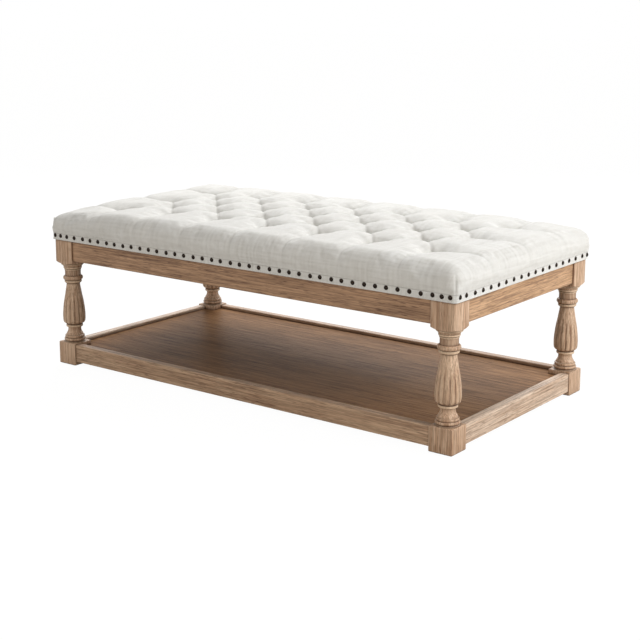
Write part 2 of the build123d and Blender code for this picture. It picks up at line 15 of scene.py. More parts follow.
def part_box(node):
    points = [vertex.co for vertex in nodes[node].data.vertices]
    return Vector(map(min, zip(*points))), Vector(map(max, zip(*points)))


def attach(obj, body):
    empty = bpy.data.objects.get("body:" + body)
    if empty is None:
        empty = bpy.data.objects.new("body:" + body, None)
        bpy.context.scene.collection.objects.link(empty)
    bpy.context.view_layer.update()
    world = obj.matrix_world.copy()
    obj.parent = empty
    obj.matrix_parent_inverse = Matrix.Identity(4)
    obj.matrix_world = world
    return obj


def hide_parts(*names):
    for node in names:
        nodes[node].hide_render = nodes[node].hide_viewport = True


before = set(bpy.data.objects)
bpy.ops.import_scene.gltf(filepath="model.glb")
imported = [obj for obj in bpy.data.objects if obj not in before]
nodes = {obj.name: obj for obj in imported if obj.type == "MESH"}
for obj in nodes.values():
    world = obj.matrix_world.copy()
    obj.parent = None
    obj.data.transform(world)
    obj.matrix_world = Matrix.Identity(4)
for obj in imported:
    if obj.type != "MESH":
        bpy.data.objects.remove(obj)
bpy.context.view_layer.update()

# %% [markdown]
# Blender works in metres and furniture is drawn in millimetres, so one value turns one into the
# other. A finish is a handful of nodes, and each node is added by the same small function.

# %% Millimetres, colours and nodes
MM = 0.001


def colour(code):
    """A linear colour from an sRGB hex code."""
    levels = [int(code[k:k + 2], 16) / 255 for k in (0, 2, 4)]
    linear = [v / 12.92 if v <= 0.04045 else ((v + 0.055) / 1.055) ** 2.4 for v in levels]
    return (*linear, 1.0)


def add(tree, kind, sockets=None, **settings):
    """Adds one node with its settings. A socket takes a value, or a link from another socket."""
    made = tree.nodes.new(kind)
    for name, value in settings.items():
        setattr(made, name, value)
    for name, value in (sockets or {}).items():
        if isinstance(value, bpy.types.NodeSocket):
            tree.links.new(value, made.inputs[name])
        else:
            made.inputs[name].default_value = value
    return made


def finish(name):
    """A new material with its shader: the material, its tree and the shader node."""
    material = bpy.data.materials.new(name)
    material.use_nodes = True
    tree = material.node_tree
    return material, tree, tree.nodes["Principled BSDF"]


print("white is", colour("FFFFFF"))

# %% [markdown]
# The camera stands where the photograph was taken from: three quarters from the right, about a
# metre up and 3.5 m away, with a lens long enough to keep the long sides calm. It looks a little
# over the middle of the table, and the lens is shifted down to bring the table to the middle of
# the picture.

# %% Camera
CAMERA_PLACE = (2.1165, -2.7666, 1.0195)
TURNED, TILTED_DOWN, LEANING = 37.01, 11.07, 0.15
camera_data = bpy.data.cameras.new("camera")
camera_data.lens = 74.0
camera_data.sensor_width = 36.0
camera_data.shift_y = -0.10
camera = bpy.data.objects.new("camera", camera_data)
bpy.context.scene.collection.objects.link(camera)
camera.location = CAMERA_PLACE
turn = Matrix.Rotation(math.radians(TURNED), 3, "Z")
tilt = Matrix.Rotation(math.radians(90 - TILTED_DOWN), 3, "X")
lean = Matrix.Rotation(math.radians(LEANING), 3, "Z")
camera.rotation_euler = (turn @ tilt @ lean).to_euler()
bpy.context.scene.camera = camera
bpy.context.scene.view_settings.view_transform = "Standard"
print("camera at", [round(v, 3) for v in camera.location])

# %% [markdown]
# A studio shot on white. One large soft box on the right lights the ends. A second one stands high
# behind on the left, so that every hollow of the top shades its near side, and a weak warm one
# fills the front.

# %% Lights
def soft_box(name, place, target, size, power, tint="FFFFFF"):
    """A square area light at a place, turned to a target."""
    data = bpy.data.lights.new(name, "AREA")
    data.size = size
    data.energy = power
    data.color = colour(tint)[:3]
    box = bpy.data.objects.new(name, data)
    bpy.context.scene.collection.objects.link(box)
    box.location = place
    aim = Vector(target) - Vector(place)
    box.rotation_euler = aim.to_track_quat("-Z", "Y").to_euler()


soft_box("soft_box_right", place=(2.8, 0.3, 1.5), target=(0.3, 0.0, 0.3), size=1.4, power=46)
soft_box("soft_box_behind", place=(-1.5, 2.2, 2.5), target=(0.0, 0.0, 0.4), size=1.8, power=94)
soft_box("soft_box_front", place=(0.6, -3.4, 1.4), target=(0.2, 0.0, 0.3), size=2.0, power=17,
         tint="FFF3E2")

# %% [markdown]
# The world is white where it is seen, also in gloss, and dimmer as a light. The ground is a pale
# sheet of paper with no gloss. To the camera, most of its white is its own, so that only a soft
# shadow is left under the table.

# %% World and ground
SKY_LIGHT, SKY_SEEN = 0.43, 1.0
GROUND_SIZE, OWN_WHITE, OWN_STRENGTH = 60.0, 0.92, 1.06
world = bpy.data.worlds.new("studio")
bpy.context.scene.world = world
world.use_nodes = True
sky = world.node_tree
sky.nodes.clear()
ray = add(sky, "ShaderNodeLightPath").outputs
seen = ray["Is Camera Ray"]
for other in ("Is Transmission Ray", "Is Glossy Ray"):
    seen = add(sky, "ShaderNodeMath", {0: seen, 1: ray[other]}, operation="MAXIMUM").outputs[0]
level = add(sky, "ShaderNodeMapRange", {"Value": seen, "To Min": SKY_LIGHT, "To Max": SKY_SEEN})
white = {"Color": colour("FFFFFF"), "Strength": level.outputs[0]}
backdrop = add(sky, "ShaderNodeBackground", white)
add(sky, "ShaderNodeOutputWorld", {"Surface": backdrop.outputs[0]})

bpy.ops.object.select_all(action="DESELECT")
bpy.ops.mesh.primitive_plane_add(size=GROUND_SIZE, location=(0, 0, 0))
ground = bpy.context.object
ground.name = "ground"
paper, tree, shader = finish("pale_paper")
shader.inputs["Base Color"].default_value = colour("CDCAC5")
shader.inputs["Roughness"].default_value = 0.9
shader.inputs["Specular IOR Level"].default_value = 0.1
to_camera = add(tree, "ShaderNodeLightPath").outputs["Is Camera Ray"]
own = add(tree, "ShaderNodeMath", {0: to_camera, 1: OWN_WHITE}, operation="MULTIPLY")
glow = add(tree, "ShaderNodeEmission", {"Color": colour("FFFFFF"), "Strength": OWN_STRENGTH})
both = {0: own.outputs[0], 1: shader.outputs[0], 2: glow.outputs[0]}
sheet = add(tree, "ShaderNodeMixShader", both)
tree.links.new(sheet.outputs[0], tree.nodes["Material Output"].inputs["Surface"])
ground.data.materials.append(paper)
print("ground:", [round(v, 1) for v in ground.dimensions], "m")

# %% [markdown]
# The wood is oak with a pale limed wash over a warm stain. Oak shows long straight fibres, wider
# bands where the saw ran flat, and open pores, short dark dashes up to 20 mm long. All of it runs
# along the piece, so one recipe is used again for each direction and tone: aprons and rails of the
# long sides and of the ends, and upright legs. The shelf is the same wood in a darker satin stain.

# %% Limed oak
STAIN_AND_SHADE, RUBBED_AND_HIGHLIT_OAK = "4A2E1B", "EBD2B2"


def layer(tree, tone, code, pattern, low, high, most=1.0):
    """A tone with a colour over it, up to a share of it as a pattern goes from low to high."""
    levels = {"Value": pattern, "From Min": low, "From Max": high, "To Max": most}
    amount = add(tree, "ShaderNodeMapRange", levels)
    colours = {0: amount.outputs[0], 6: tone, 7: colour(code)}
    return add(tree, "ShaderNodeMix", colours, data_type="RGBA").outputs[2]


def limed_oak(name, along, pale, middle, dark, roughness=0.52, shine=0.5):
    """Oak whose grain runs along one axis. Pale, middle and dark are the tones of its fibres."""
    material, tree, shader = finish(name)
    place = add(tree, "ShaderNodeTexCoord").outputs["Object"]

    def pattern(size, ratio, **settings):
        """Noise of a size in mm across the grain, drawn out along it by a ratio."""
        scale = [1.0 if axis != along else ratio for axis in "XYZ"]
        drawn = add(tree, "ShaderNodeMapping", {"Vector": place, "Scale": scale})
        sockets = {"Vector": drawn.outputs[0], "Scale": 1 / (size * MM)}
        sockets.update(settings)
        return add(tree, "ShaderNodeTexNoise", sockets).outputs[0]

    # Growth bands are about 9 mm wide and 200 mm long. Single fibres are drawn 2.5 mm wide instead
    # of 0.3, so that they show, and open pores as dashes of 1.6 by 27 mm. The wash lies in clouds.
    bands = pattern(9, 0.045, Detail=4.0, Roughness=0.62, Distortion=0.9)
    fibres = pattern(2.5, 0.02, Detail=3.0, Roughness=0.65)
    pores = pattern(1.6, 0.06, Detail=1.0)
    wash = pattern(60, 0.3, Detail=2.0)
    levels = {"Value": pores, "From Min": 0.57, "From Max": 0.68, "To Max": 0.72}
    open_pores = add(tree, "ShaderNodeMapRange", levels).outputs[0]
    tone = layer(tree, colour(middle), pale, bands, 0.40, 0.62)
    tone = layer(tree, tone, dark, fibres, 0.44, 0.66, 0.75)
    tone = layer(tree, tone, dark, open_pores, 0.0, 1.0)
    tone = layer(tree, tone, pale, wash, 0.45, 0.72, 0.35)

    # Stain wiped off the high places stays in grooves, with painted shade there and a painted
    # highlight on the rubbed edges. Painted shade also darkens where one piece meets the next.
    groove = add(tree, "ShaderNodeAttribute", attribute_name="groove").outputs["Fac"]
    tone = layer(tree, tone, RUBBED_AND_HIGHLIT_OAK, groove, 0.0, -1.0, 0.55)
    tone = layer(tree, tone, STAIN_AND_SHADE, groove, 0.0, 1.0, 0.75)
    # Painted shade: ambient occlusion darkens corners and joints towards the stain colour.
    corner = add(tree, "ShaderNodeAmbientOcclusion", {"Distance": 7 * MM}, samples=8)
    tone = layer(tree, tone, STAIN_AND_SHADE, corner.outputs["AO"], 0.96, 0.52, 0.8)

    tree.links.new(tone, shader.inputs["Base Color"])
    shader.inputs["Roughness"].default_value = roughness
    shader.inputs["IOR"].default_value = 1.5
    shader.inputs["Specular IOR Level"].default_value = shine
    relief = add(tree, "ShaderNodeMath", {0: open_pores, 1: fibres}, operation="ADD")
    depth = {"Height": relief.outputs[0], "Strength": 0.4, "Distance": 0.3 * MM}
    bump = add(tree, "ShaderNodeBump", depth, invert=True)
    tree.links.new(bump.outputs[0], shader.inputs["Normal"])
    return material


apron_x = limed_oak("limed_oak_long_aprons", "X", "CAA280", "AC8768", "593B29")
apron_y = limed_oak("limed_oak_short_aprons", "Y", "DAB18A", "BE9670", "64432E")
rail_x = limed_oak("limed_oak_long_rails", "X", "D9B898", "B99476", "6A4B36")
rail_y = limed_oak("limed_oak_short_rails", "Y", "F0DAC4", "D8BBA1", "86674F")
oak_z = limed_oak("limed_oak_turned", "Z", "E3C4A6", "C39D7E", "7E5A40")
oak_shelf = limed_oak("oak_veneer_shelf", "X", "AD835C", "86613F", "4C301D", roughness=0.42,
                      shine=0.035)
print("wood:", [m.name for m in bpy.data.materials if "oak" in m.name])

# %% [markdown]
# The cover is a plain weave of off-white linen. Its threads are half a millimetre thick and uneven,
# so some run thicker for a few centimetres. That gives the eye a soft cross-hatch and no gloss,
# only a pale bloom where the cloth turns away. The weave follows the cloth over the edges by an
# attribute of the cover that measures along the cloth.

# %% Linen
THREADS, SLUB, SLUB_RATIO, CLOUDS = 2.6, 7.0, 0.05, 120.0
STITCHES, STITCH_CORE, STITCH_EDGE = 378.5, 0.3, 1.3
STITCH_AND_SHADE_GREY = "77726A"


def linen():
    """Off-white linen whose weave follows the attribute cloth_place."""
    material, tree, shader = finish("linen_plain_weave")
    cloth = add(tree, "ShaderNodeAttribute", attribute_name="cloth_place").outputs["Vector"]
    # Threads every 2.6 mm: the real pitch of 0.6 mm is too fine to show, so it is drawn coarser.
    # Bands of scale 1 repeat about every 1 / pi. Slubs are 7 mm wide and 140 mm long.
    threads = []
    for axis, scale in (("X", (1.0, SLUB_RATIO, 1.0)), ("Y", (SLUB_RATIO, 1.0, 1.0))):
        bands = {"Vector": cloth, "Scale": 1 / (THREADS * MM) / math.pi, "Distortion": 1.6,
                 "Detail": 2.0, "Detail Scale": 0.7}
        wave = add(tree, "ShaderNodeTexWave", bands, wave_type="BANDS", bands_direction=axis)
        drawn = add(tree, "ShaderNodeMapping", {"Vector": cloth, "Scale": scale})
        uneven = {"Vector": drawn.outputs[0], "Scale": 1 / (SLUB * MM), "Detail": 3.0,
                  "Roughness": 0.62}
        slub = add(tree, "ShaderNodeTexNoise", uneven)
        both = {0: wave.outputs["Fac"], 1: slub.outputs[0]}
        threads.append(add(tree, "ShaderNodeMath", both, operation="MULTIPLY").outputs[0])
    weave = add(tree, "ShaderNodeMath", {0: threads[0], 1: threads[1]}, operation="ADD").outputs[0]
    soft = {"Vector": cloth, "Scale": 1 / (CLOUDS * MM), "Detail": 2.0}
    cloud = add(tree, "ShaderNodeTexNoise", soft).outputs[0]
    tone = layer(tree, colour("BDBAB2"), "FAFAF8", weave, 0.30, 0.66)
    tone = layer(tree, tone, "E2DFD9", cloud, 0.35, 0.7, 0.3)
    # Painted shade darkens the creases, the wells and the corner tuck, and a row of stitches
    # runs along the band.
    fold = add(tree, "ShaderNodeAttribute", attribute_name="fold").outputs["Fac"]
    tone = layer(tree, tone, STITCH_AND_SHADE_GREY, fold, 0.0, 1.0, 0.5)
    place = add(tree, "ShaderNodeTexCoord").outputs["Object"]
    height = add(tree, "ShaderNodeSeparateXYZ", {0: place}).outputs[2]
    away = add(tree, "ShaderNodeMath", {0: height, 1: STITCHES * MM}, operation="SUBTRACT")
    away = add(tree, "ShaderNodeMath", {0: away.outputs[0]}, operation="ABSOLUTE").outputs[0]
    tone = layer(tree, tone, STITCH_AND_SHADE_GREY, away, STITCH_EDGE * MM, STITCH_CORE * MM, 0.42)
    tree.links.new(tone, shader.inputs["Base Color"])
    shader.inputs["Roughness"].default_value = 0.92
    shader.inputs["Specular IOR Level"].default_value = 0.2
    shader.inputs["Sheen Weight"].default_value = 0.1
    shader.inputs["Sheen Roughness"].default_value = 0.5
    depth = {"Height": weave, "Strength": 0.3, "Distance": 0.35 * MM}
    bump = add(tree, "ShaderNodeBump", depth)
    tree.links.new(bump.outputs[0], shader.inputs["Normal"])
    return material


linen_cover = linen()
print("cloth:", linen_cover.name)

# %% [markdown]
# The nailheads are pressed steel with a black bronze finish, mottled a little. The
# hidden pieces get honest workshop finishes as well: planed pine, birch plywood, yellow upholstery
# foam, waxed twine, black spun cloth, zinc-plated steel and moulded plastic.

# %% Nail metal and workshop finishes
PINE = ("D2B48A", "B8935F")


def worked(name, tones, grain, roughness, metallic=0.0, rise=0.2):
    """A mottled finish of two tones. Grain is the size of its mottling along X, Y and Z in mm."""
    material, tree, shader = finish(name)
    place = add(tree, "ShaderNodeTexCoord").outputs["Object"]
    scale = [1 / (size * MM) for size in grain]
    drawn = add(tree, "ShaderNodeMapping", {"Vector": place, "Scale": scale})
    mottled = {"Vector": drawn.outputs[0], "Scale": 1.0, "Detail": 4.0, "Roughness": 0.6}
    spots = add(tree, "ShaderNodeTexNoise", mottled).outputs[0]
    tone = layer(tree, colour(tones[0]), tones[1], spots, 0.35, 0.65)
    spread = {"Value": spots, "To Min": roughness + 0.1, "To Max": max(roughness - 0.1, 0.05)}
    rough = add(tree, "ShaderNodeMapRange", spread)
    depth = {"Height": spots, "Strength": rise, "Distance": 0.3 * MM}
    bump = add(tree, "ShaderNodeBump", depth)
    tree.links.new(tone, shader.inputs["Base Color"])
    tree.links.new(rough.outputs[0], shader.inputs["Roughness"])
    tree.links.new(bump.outputs[0], shader.inputs["Normal"])
    shader.inputs["Metallic"].default_value = metallic
    return material


black_bronze = worked("black_bronze_nailheads", ("14100D", "382C24"), (2, 2, 2), 0.26, 0.85, 0.1)
pine_x = worked("planed_pine_along_x", PINE, (60, 4, 4), 0.6)
pine_y = worked("planed_pine_along_y", PINE, (4, 60, 4), 0.6)
plywood = worked("birch_plywood", ("D9BE93", "C6A373"), (90, 12, 1.5), 0.6)
foam = worked("upholstery_foam", ("E9DFA8", "DACD8B"), (2, 2, 2), 0.9, rise=0.6)
twine = worked("waxed_twine", ("D9CFB6", "B9AD90"), (0.6, 0.6, 1.5), 0.7, rise=0.5)
spun_cloth = worked("black_spun_cloth", ("1D1D1F", "2B2B2E"), (1.5, 1.5, 1.5), 0.9, rise=0.5)
zinc = worked("zinc_plated_steel", ("B9BBBD", "8F9396"), (5, 5, 5), 0.35, 1.0, 0.1)
grey_nylon = worked("moulded_nylon", ("A9A6A0", "9C9993"), (8, 8, 8), 0.45, rise=0.1)
dark_nylon = worked("moulded_nylon_black", ("2C2C2E", "363638"), (8, 8, 8), 0.45, rise=0.1)
print("finishes:", len(bpy.data.materials), "materials so far")

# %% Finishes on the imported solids
# The first beginning that fits a node's name gives its finish.
dressing = (
    ("leg_", oak_z), ("apron_brace", pine_x), ("apron_cross", pine_y), ("apron_left", apron_y),
    ("apron_right", apron_y), ("apron_", apron_x), ("shelf_rail_left", rail_y),
    ("shelf_rail_right", rail_y), ("shelf_rail_", rail_x), ("shelf_panel", oak_shelf),
    ("shelf_brace", pine_x), ("shelf_cross", pine_y), ("shelf_cleat_left", pine_y),
    ("shelf_cleat_right", pine_y), ("shelf_cleat", pine_x), ("top_frame_left", pine_y),
    ("top_frame_right", pine_y), ("top_frame", pine_x), ("top_cross", pine_y),
    ("top_screws", zinc), ("hanger_bolts", zinc), ("bolt_", zinc), ("deck", plywood),
    ("foam_slab", foam), ("dust_cover", spun_cloth), ("tuft_ties", twine),
    ("tuft_anchors", dark_nylon), ("glide_", grey_nylon), ("nailheads_", black_bronze),
    ("tufted_cushion", linen_cover),
)
for name, node in nodes.items():
    material = next(m for prefix, m in dressing if name.startswith(prefix))
    if not node.material_slots:
        node.data.materials.append(material)
    for slot in node.material_slots:
        slot.material = material
print("finishes on", len(nodes), "solids")

# %% [markdown]
# A leg is turned on a lathe from one square blank. The lathe leaves the two square blocks and cuts
# the members between them. Here a circle is extruded ring by ring and scaled to the radius of each
# ring. Another way is the Screw modifier, but rings can be given reeds afterwards, one by one.

# %% Lines that a turner draws
def bow(start, end, bulge, steps):
    """Points of a half-round or hollow member after its start, each as (radius, height)."""
    points = []
    for k in range(1, steps + 1):
        angle = math.pi * k / steps
        share = (1 - math.cos(angle)) / 2
        points.append((start[0] + (end[0] - start[0]) * share + bulge * math.sin(angle),
                       start[1] + (end[1] - start[1]) * share))
    return points


def smooth_line(knots, heights):
    """Radii at some heights on a smooth line through (height, radius) knots."""
    at = [k[0] for k in knots]
    radius = [k[1] for k in knots]
    slope = [0.0] * len(knots)
    for k in range(1, len(knots) - 1):
        before = (radius[k] - radius[k - 1]) / (at[k] - at[k - 1])
        after = (radius[k + 1] - radius[k]) / (at[k + 1] - at[k])
        slope[k] = 0.0 if before * after <= 0 else 2 * before * after / (before + after)
    slope[0] = (radius[1] - radius[0]) / (at[1] - at[0])
    slope[-1] = 0.6 * (radius[-1] - radius[-2]) / (at[-1] - at[-2])
    found = []
    for h in heights:
        k = max(i for i in range(len(at) - 1) if at[i] <= h + 1e-9)
        width = at[k + 1] - at[k]
        t = (h - at[k]) / width
        found.append((2 * t ** 3 - 3 * t ** 2 + 1) * radius[k]
                     + (t ** 3 - 2 * t ** 2 + t) * width * slope[k]
                     + (3 * t ** 2 - 2 * t ** 3) * radius[k + 1]
                     + (t ** 3 - t ** 2) * width * slope[k + 1])
    return found


def smooth_part(knots, steps):
    """Evenly spaced (radius, height) points on the smooth line through (height, radius) knots."""
    low, high = knots[0][0], knots[-1][0]
    heights = [low + (high - low) * k / steps for k in range(1, steps + 1)]
    return list(zip(smooth_line(knots, heights), heights))


print("middle of a bead:", bow((10, 0), (10, 8), 4, 2)[0])

# %% Outline of the turning
VASE_FOOT = 114.5
scotia_knots = [(84.6, 24.0), (89.1, 22.7), (92.5, 20.4), (96.0, 18.9), (100.5, 18.0),
                (104.5, 18.1), (107.0, 19.3), (108.4, 21.6)]
vase_knots = [(VASE_FOOT, 22.6), (116.0, 24.6), (118.0, 26.9), (120.0, 28.8), (122.5, 30.2),
              (126.0, 31.1), (132.0, 31.6), (142.0, 31.75), (155.0, 31.0), (170.0, 29.4),
              (184.0, 27.3), (196.0, 25.0), (211.0, 21.9), (224.0, 19.6), (233.0, 18.4)]

# From the foot block up: two rounds, a hollow, a ring and the vase.
outline = [(28.5, 65.5), (28.4, 66.2), (26.6, 67.6), (25.6, 69.0)]
outline += bow(outline[-1], (25.5, 77.5), 4.0, 8)
outline += bow(outline[-1], (25.5, 84.4), 1.75, 6)
outline += [(24.0, 84.6)] + smooth_part(scotia_knots, 16)
outline += [(22.7, 108.6), (23.1, 109.1), (23.1, 113.7), (22.8, 114.3), (22.6, VASE_FOOT)]
vase_line = smooth_part(vase_knots[:6], 10) + smooth_part(vase_knots[5:], 26)
outline += vase_line
# Above it: a hollow ring, a bead, the neck, its ring, and the collar under the top block.
outline += [(19.6, 233.4), (22.9, 236.2), (23.5, 236.6), (23.7, 237.2), (23.7, 241.9),
            (23.4, 242.4), (22.4, 242.6), (22.9, 243.4)]
outline += bow(outline[-1], (22.4, 255.4), 4.9, 8)
outline += [(22.0, 255.6), (22.0, 256.6), (22.0, 270.0), (22.1, 270.8), (22.9, 271.2),
            (23.2, 271.8), (23.2, 274.4), (22.8, 275.0), (22.9, 275.8), (24.8, 276.2),
            (25.4, 277.0), (25.4, 280.2), (25.1, 280.9), (25.3, 281.4), (25.9, 282.2)]
outline += bow(outline[-1], (29.4, 286.6), -0.4, 5)
outline += [(29.6, 287.0), (31.0, 287.4), (31.5, 288.2), (31.5, 290.0), (31.0, 290.6),
            (30.4, 291.0)]
print("the turning has", len(outline), "rings")

# %% Turning on the lathe
REEDS, REED_STEPS = 14, 10


def turned(name, line, sides):
    """A solid of revolution: a disc extruded upwards ring by ring, each scaled to its radius."""
    bpy.ops.object.select_all(action="DESELECT")
    bpy.ops.mesh.primitive_circle_add(vertices=sides, radius=line[0][0] * MM, fill_type="NGON",
                                      location=(0, 0, line[0][1] * MM))
    piece = bpy.context.object
    piece.name = name
    bpy.ops.object.mode_set(mode="EDIT")
    bpy.ops.mesh.select_all(action="SELECT")
    for (here, low), (there, high) in zip(line, line[1:]):
        lift = {"value": (0, 0, (high - low) * MM)}
        bpy.ops.mesh.extrude_region_move(TRANSFORM_OT_translate=lift)
        bpy.ops.transform.resize(value=(there / here, there / here, 1), center_override=(0, 0, 0))
    bpy.ops.mesh.select_all(action="SELECT")
    bpy.ops.mesh.normals_make_consistent(inside=False)
    bpy.ops.object.mode_set(mode="OBJECT")
    bpy.ops.object.transform_apply(location=True, rotation=True, scale=True)
    return piece


turning = turned("turning", outline, REEDS * REED_STEPS)
print("turning:", len(turning.data.polygons), "faces")

# %% [markdown]
# The reeds are carved into the vase after turning. A carver cuts V-shaped grooves and rounds what
# stands between them. The reeds fade out towards the thin end, and their lower ends are rounded
# like fingertips. Each ring is taken in turn: the points that stand in a groove move inwards.

# %% Carving the reeds
REEDS_END, POINTED, FADE, LEDGE = 213.0, 9.0, 26.0, 3.0
CREST_CUT, GROOVE_CUT, LEDGE_CUT = 0.5, 1.6, 0.3
TIP, TIP_SLOPE, TIP_CUT = 4.6, 1.6, 2.9
CREST_PHASE, RUB_AND_HIGHLIGHT_BELOW, CREST_RUB_AND_HIGHLIGHT, SLIGHT_RUB_AND_HIGHLIGHT = 0.7, 205.0, 0.4, 0.1
FULL_STAIN_AND_SHADE_CUT, MOST_STAIN_AND_SHADE = 4.0, 0.5


def reed_cut(height, phase):
    """How deep the carver goes, in mm, at a height and at a phase from 0 (groove) to 1 (crest)."""
    end = REEDS_END - POINTED * (1 - phase) ** 2
    fade = min(max((end - height) / FADE, 0), 1)
    ledge = min(max((end - height) / LEDGE, 0), 1)
    groove = CREST_CUT * ledge + (GROOVE_CUT * fade + LEDGE_CUT * ledge) * (1 - phase) ** 3
    tip = VASE_FOOT + TIP + TIP * (1 - phase) ** 2
    below = min(max((tip - height) / TIP_SLOPE + 0.5, 0), 1)
    return groove * (1 - below) + TIP_CUT * below


places = np.array([v.co[:] for v in turning.data.vertices])
vase_levels = {round(height * MM, 6) for _, height in vase_line}
stain_and_painted_light = np.zeros(len(places))
for index, (x, y, z) in enumerate(places):
    if round(z, 6) not in vase_levels:
        continue
    side = math.atan2(y, x) / (2 * math.pi) * REEDS % 1.0
    phase = 1 - abs(2 * side - 1)
    cut = reed_cut(z / MM, phase)
    left = 1 - cut * MM / math.hypot(x, y)
    turning.data.vertices[index].co = (x * left, y * left, z)
    # Groove stain is partly painted shade; pale low crests are partly a painted highlight.
    rubbed_and_highlit = phase > CREST_PHASE and z / MM < RUB_AND_HIGHLIGHT_BELOW
    stain_and_painted_light[index] = min((cut - CREST_CUT) / FULL_STAIN_AND_SHADE_CUT, MOST_STAIN_AND_SHADE)
    stain_and_painted_light[index] -= CREST_RUB_AND_HIGHLIGHT if rubbed_and_highlit else SLIGHT_RUB_AND_HIGHLIGHT
print("reeds:", REEDS, "stain up to", round(max(stain_and_painted_light), 2))

# %% [markdown]
# A finisher wipes the stain off again. It stays in the creases between the members, and the edges
# that the cloth reaches rub pale. The marks also paint light: dark creases are partly painted
# shade, and pale ring edges partly painted highlights. An attribute holds this: above 0 is stained
# and painted shade, below 0 is rubbed and painted highlight.

# %% Stain and painted shade in the turning's creases, wear and painted highlights on its rings
NEAR_RING = 0.04
# Dark ring marks are stain and painted shade, pale ones rubbed wear and painted highlights.
painted_light_and_stain_marks = {66.2: -0.8, 67.6: -0.6, 69.0: 0.9, 77.5: 1.0, 84.4: 0.7, 84.6: -0.9, 108.4: 0.5,
         109.1: -0.9, 113.7: -1.0, 114.5: 1.0, 233.4: 0.9, 236.2: 0.3, 237.2: -0.9, 241.9: -1.0,
         242.4: 0.3, 242.6: 0.9, 255.4: 0.8, 255.6: 0.9, 256.6: 0.32, 270.0: 0.32, 270.8: 0.7,
         271.2: 0.2, 271.8: -0.7, 274.4: -0.9, 275.0: 0.9, 275.8: 1.0, 276.2: 0.2, 277.0: -0.9,
         280.2: -1.0, 280.9: 0.8, 281.4: 0.9, 286.6: 0.6, 287.0: 1.0, 287.4: 0.1, 288.2: -0.9,
         290.0: -1.0, 290.6: 0.8, 291.0: 1.0}
for height, share in painted_light_and_stain_marks.items():
    stain_and_painted_light[np.abs(places[:, 2] / MM - height) < NEAR_RING] = share
groove = turning.data.attributes.new("groove", "FLOAT", "POINT")
groove.data.foreach_set("value", stain_and_painted_light)
print("creases stained:", int((stain_and_painted_light > 0.3).sum()))

# %% [markdown]
# The square blocks are what the blank was. The lower end of the top block is rounded where the tool
# ran out of the corners, which turners call a pommel: here the block is intersected with a turned
# shape. The foot block has its edges eased all round.

# %% Square blocks
SQUARE, PAST_CORNERS = 64.0, 45.5
FOOT_LOW, FOOT_TOP, BLOCK_LOW, LEG_TOP = 2.5, 65.5, 290.8, 360.0
POMMEL, POMMEL_NECK, POMMEL_BOW, TOOL_LOW, TOOL_TOP = 7.0, 31.2, 2.0, 280.0, 365.0


def square_block(name, low, high, ease):
    """A square block between two heights, its edges eased by a bevel."""
    bpy.ops.object.select_all(action="DESELECT")
    bpy.ops.mesh.primitive_cube_add(size=1, location=(0, 0, (low + high) / 2 * MM),
                                    scale=(SQUARE * MM, SQUARE * MM, (high - low) * MM))
    block = bpy.context.object
    block.name = name
    bpy.ops.object.transform_apply(location=True, rotation=True, scale=True)
    bpy.ops.object.mode_set(mode="EDIT")
    bpy.ops.mesh.select_all(action="SELECT")
    bpy.ops.mesh.bevel(offset=ease * MM, offset_type="OFFSET", segments=3, profile=0.5,
                       affect="EDGES")
    bpy.ops.object.mode_set(mode="OBJECT")
    return block


def cut_with(block, tool, operation):
    """Applies a boolean with a tool, which is then removed."""
    change = block.modifiers.new("cut", "BOOLEAN")
    change.operation = operation
    change.object = tool
    change.solver = "EXACT"
    bpy.context.view_layer.objects.active = block
    bpy.ops.object.modifier_apply(modifier=change.name)
    bpy.data.objects.remove(tool, do_unlink=True)


top_block = square_block("top_block", BLOCK_LOW, LEG_TOP, ease=1.2)
pommel_low, pommel_top = (POMMEL_NECK, BLOCK_LOW), (PAST_CORNERS, BLOCK_LOW + POMMEL)
pommel_line = [(POMMEL_NECK, TOOL_LOW), pommel_low]
pommel_line += bow(pommel_low, pommel_top, POMMEL_BOW, 8) + [(PAST_CORNERS, TOOL_TOP)]
cut_with(top_block, turned("pommel", pommel_line, sides=112), "INTERSECT")
foot_block = square_block("foot_block", FOOT_LOW, FOOT_TOP, ease=3.0)
bpy.ops.object.select_all(action="DESELECT")
for piece in (turning, top_block, foot_block):
    piece.select_set(True)
bpy.context.view_layer.objects.active = turning
bpy.ops.object.join()
turning.data.materials.clear()
turning.data.materials.append(oak_z)
print("leg:", len(turning.data.polygons), "faces")

# %% [markdown]
# All four legs come off one pattern, so the leg is copied to each corner. Each copy is turned a
# quarter more than the last, so that no two show the same side.

# %% Four legs
def one_copy(source, name, change):
    """A copy with its own mesh, turned and moved by a matrix."""
    piece = bpy.data.objects.new(name, source.data.copy())
    bpy.context.scene.collection.objects.link(piece)
    piece.data.transform(change)
    return piece


def shade(piece, degrees):
    """Smooth shading that keeps edges sharper than an angle."""
    bpy.ops.object.select_all(action="DESELECT")
    piece.select_set(True)
    bpy.context.view_layer.objects.active = piece
    bpy.ops.object.shade_smooth_by_angle(angle=math.radians(degrees))


QUARTER = math.pi / 2
for quarter, corner in enumerate(("front_right", "back_right", "back_left", "front_left")):
    low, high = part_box("leg_" + corner)
    middle = (low + high) / 2
    move = Matrix.Translation((middle.x, middle.y, 0)) @ Matrix.Rotation(quarter * QUARTER, 4, "Z")
    leg = one_copy(turning, "turned_leg_" + corner, move)
    shade(leg, degrees=34)
    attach(leg, "root")
    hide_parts("leg_" + corner)
    print(leg.name, "at", round(middle.x, 3), round(middle.y, 3))
bpy.data.objects.remove(turning, do_unlink=True)

